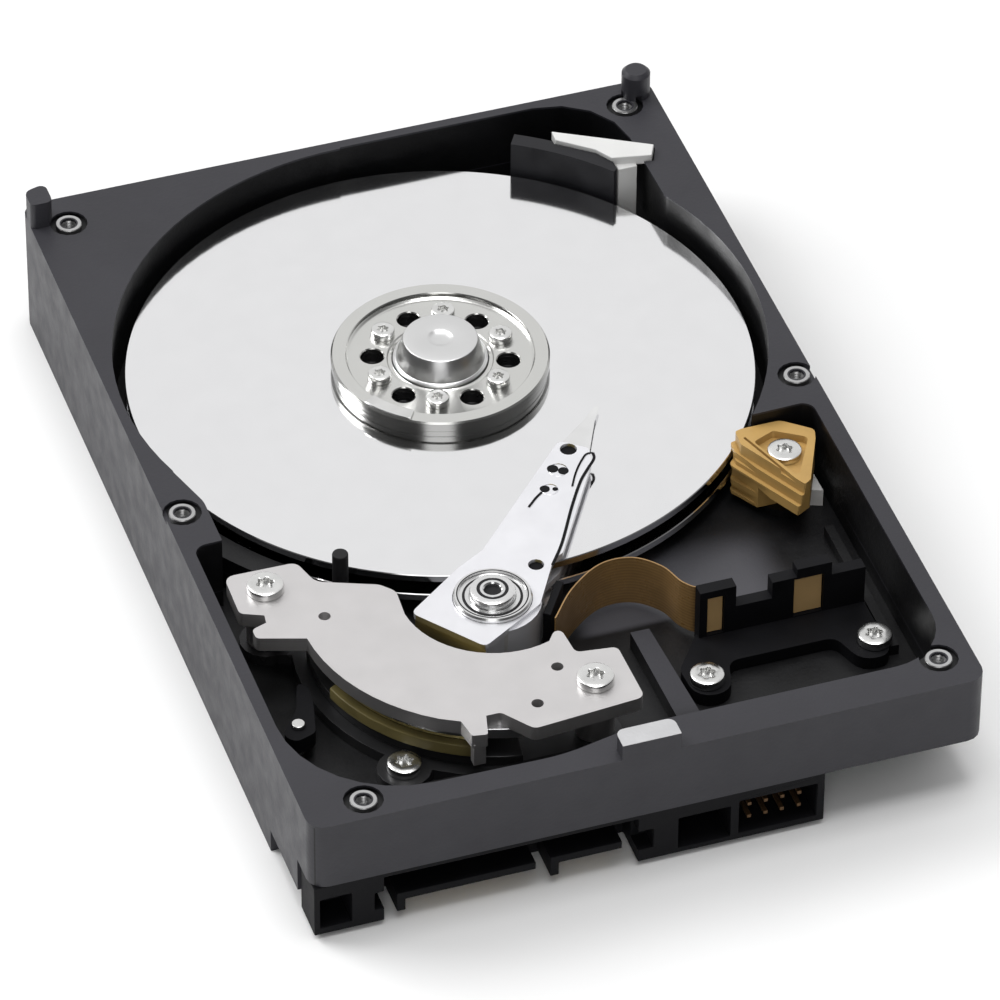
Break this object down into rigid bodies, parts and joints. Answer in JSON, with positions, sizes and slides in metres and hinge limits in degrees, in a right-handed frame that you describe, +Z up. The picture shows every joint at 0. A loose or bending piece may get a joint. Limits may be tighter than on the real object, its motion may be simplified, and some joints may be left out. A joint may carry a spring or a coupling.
{
  "type": "hard disk drive",
  "caption": "Open 3.5-inch hard disk drive: cast base with spinning disc pack, swinging actuator with heads, magnet assembly, load ramp, filter, circuit board and rear-edge connectors.",
  "frame": {"origin": "centre of the bounding box, on the mounting plane that the side rails stand on", "axes": "+Z up through the open top, -Y towards the connectors, +Y towards the disc end"},
  "size_m": [0.1016, 0.147, 0.0261],
  "materials": {
    "casting": "satin dark grey coating over cast aluminium",
    "board": "green solder mask",
    "foam": "matt dark foam",
    "screw": "bright zinc-plated steel",
    "black_plastic": "black moulded plastic",
    "grey_plastic": "dark grey moulded plastic",
    "white_plastic": "white moulded plastic",
    "ramp_plastic": "orange-tan engineering plastic",
    "gold": "gold-plated contacts",
    "plated_steel": "satin nickel-plated steel",
    "bright_steel": "turned bright steel",
    "aluminium": "machined aluminium",
    "disc": "mirror-polished disc",
    "copper": "enamelled copper wire",
    "magnet": "nickel-plated magnet",
    "slider": "dark ceramic",
    "rubber": "black elastomer over a pin",
    "film": "brown polyimide film with copper tracks"
  },
  "bodies": {
    "base": {"base_casting": "casting", "circuit_board": "board", "insulator_pad": "foam", "board_screw_1": "screw", "board_screw_2": "screw", "board_screw_3": "screw", "connector_housing": "black_plastic", "power_tongue": "black_plastic", "data_tongue": "black_plastic", "jumper_pins": "gold", "motor_base": "plated_steel", "motor_stator": "copper", "pivot_shaft": "bright_steel", "lower_magnet_plate": "plated_steel", "lower_magnet": "magnet", "upper_magnet": "magnet", "upper_magnet_plate": "plated_steel", "plate_pillar_left": "plated_steel", "plate_pillar_right": "plated_steel", "plate_screw_left": "screw", "plate_screw_right": "screw", "lower_plate_screw": "screw", "crash_stop": "rubber", "latch_pin": "bright_steel", "load_ramp": "ramp_plastic", "ramp_screw": "screw", "filter_holder": "black_plastic", "recirculation_filter": "white_plastic", "flex_bracket": "black_plastic", "flex_screw_left": "screw", "flex_screw_right": "screw", "flex_cable": "film"},
    "disc_pack": {"spindle_hub": "aluminium", "disc_lower": "disc", "disc_spacer": "aluminium", "disc_upper": "disc", "disc_clamp": "bright_steel", "hub_cap": "bright_steel", "balance_clip": "bright_steel", "clamp_screw_1": "screw", "clamp_screw_2": "screw", "clamp_screw_3": "screw", "clamp_screw_4": "screw", "clamp_screw_5": "screw", "clamp_screw_6": "screw"},
    "actuator": {"bearing_sleeve": "bright_steel", "arm_block": "aluminium", "coil_former": "grey_plastic", "voice_coil": "copper", "flex_anchor": "black_plastic", "suspension_1": "bright_steel", "suspension_2": "bright_steel", "suspension_3": "bright_steel", "suspension_4": "bright_steel", "head_slider_1": "slider", "head_slider_2": "slider", "head_slider_3": "slider", "head_slider_4": "slider"},
    "latch": {"latch_lever": "grey_plastic"}
  },
  "joints": [
    {"name": "spindle_spin", "type": "hinge", "parent": "base", "child": "disc_pack", "pos_m": [0, 0.02235, 0.0165], "axis": [0, 0, 1], "continuous": true},
    {"name": "arm_pivot", "type": "hinge", "parent": "base", "child": "actuator", "pos_m": [-0.0099, -0.0317, 0.0165], "axis": [0, 0, 1], "range_deg": [-29, 7], "deforming": ["flex_cable"]},
    {"name": "latch_turn", "type": "hinge", "parent": "base", "child": "latch", "pos_m": [-0.0434, -0.044, 0.012], "axis": [0, 0, 1], "range_deg": [0, 12]}
  ]
}
